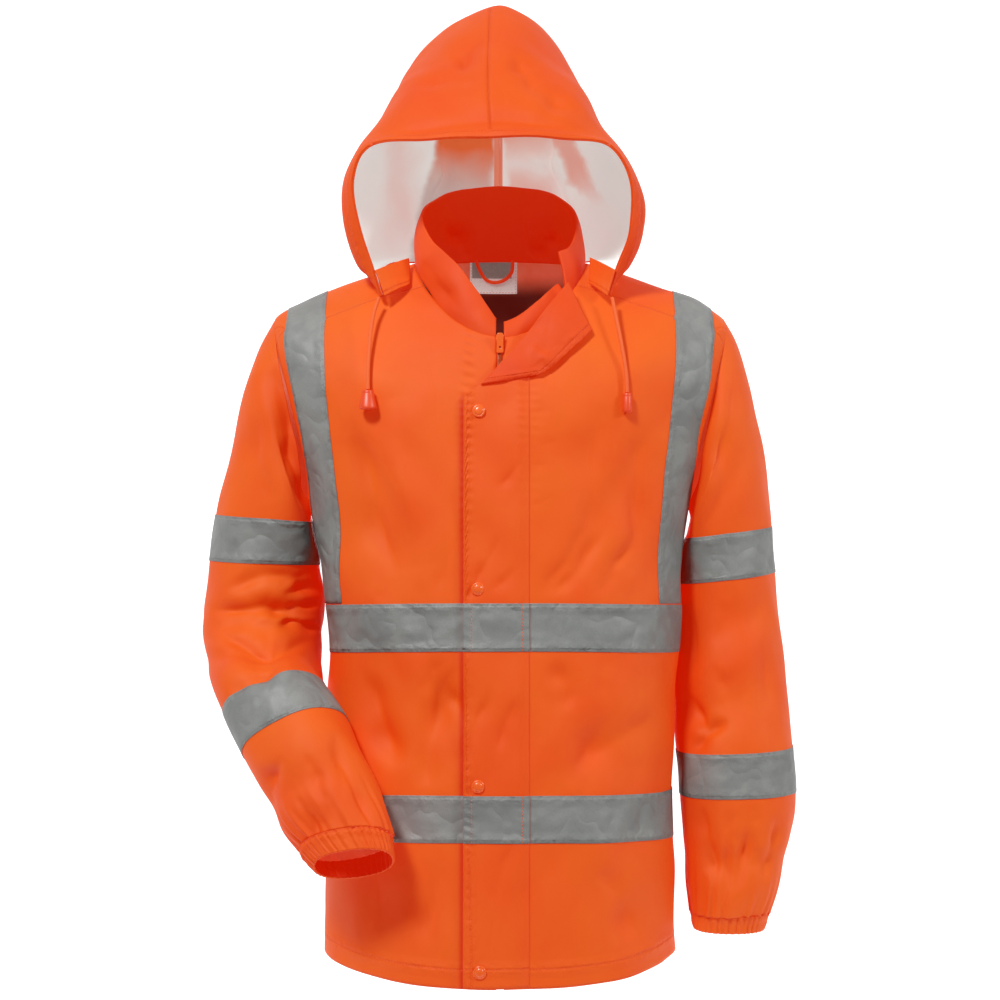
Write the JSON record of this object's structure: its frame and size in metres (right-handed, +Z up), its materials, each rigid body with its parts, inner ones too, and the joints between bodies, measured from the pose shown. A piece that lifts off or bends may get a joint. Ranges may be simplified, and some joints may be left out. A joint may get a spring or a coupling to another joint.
{
  "type": "hooded hi-vis work jacket, filled out as worn",
  "caption": "Hooded hi-vis rain jacket with reflective bands and braces, storm flap with snaps, stand collar and gathered cuffs; open at neck, hem and cuffs.",
  "frame": {"origin": "between the wearer's shoulders, where a wearer or a bust holds the jacket up", "axes": "+Z up along the body from hem to hood, +X towards the wearer's left sleeve, -Y out of the front"},
  "size_m": [0.6471, 0.3532, 1.0515],
  "materials": {
    "cloth": "coated fluorescent orange polyester, satin",
    "tape": "grey retroreflective tape",
    "zip_cloth": "woven zip tape",
    "hardware": "moulded orange plastic",
    "cord": "braided orange cord",
    "label": "bare woven label"
  },
  "bodies": {
    "jacket": {"back": "cloth", "front_left": "cloth", "front_right": "cloth", "storm_flap": "cloth", "lapel": "cloth", "collar": "cloth", "collar_front_strip": "cloth", "hood_left": "cloth", "hood_right": "cloth", "hood_casing_left": "cloth", "hood_casing_right": "cloth", "hood_visor_hem": "cloth", "hood_flap_left": "cloth", "hood_flap_right": "cloth", "sleeve_left": "cloth", "sleeve_right": "cloth", "cuff_left": "cloth", "cuff_right": "cloth", "band_lower_back": "tape", "band_lower_front_left": "tape", "band_lower_front_right": "tape", "band_lower_flap": "tape", "band_upper_back": "tape", "band_upper_front_left": "tape", "band_upper_front_right": "tape", "band_upper_flap": "tape", "band_sleeve_left_upper": "tape", "band_sleeve_left_lower": "tape", "band_sleeve_right_upper": "tape", "band_sleeve_right_lower": "tape", "brace_front_left": "tape", "brace_front_right": "tape", "brace_back_left": "tape", "brace_back_right": "tape", "zip_tape_left": "zip_cloth", "zip_tape_right": "zip_cloth", "zip_slider": "hardware", "snap_1": "hardware", "snap_2": "hardware", "snap_3": "hardware", "snap_4": "hardware", "cord_left": "cord", "cord_right": "cord", "cord_end_left": "hardware", "cord_end_right": "hardware", "hanging_loop": "cord", "neck_label": "label"},
    "pull_tab": {"zip_pull": "hardware"}
  },
  "joints": [
    {"name": "pull_tab_swing", "type": "hinge", "parent": "jacket", "child": "pull_tab", "pos_m": [0, -0.1121, -0.0455], "axis": [-1, 0, 0], "range_deg": [0, 150]}
  ]
}
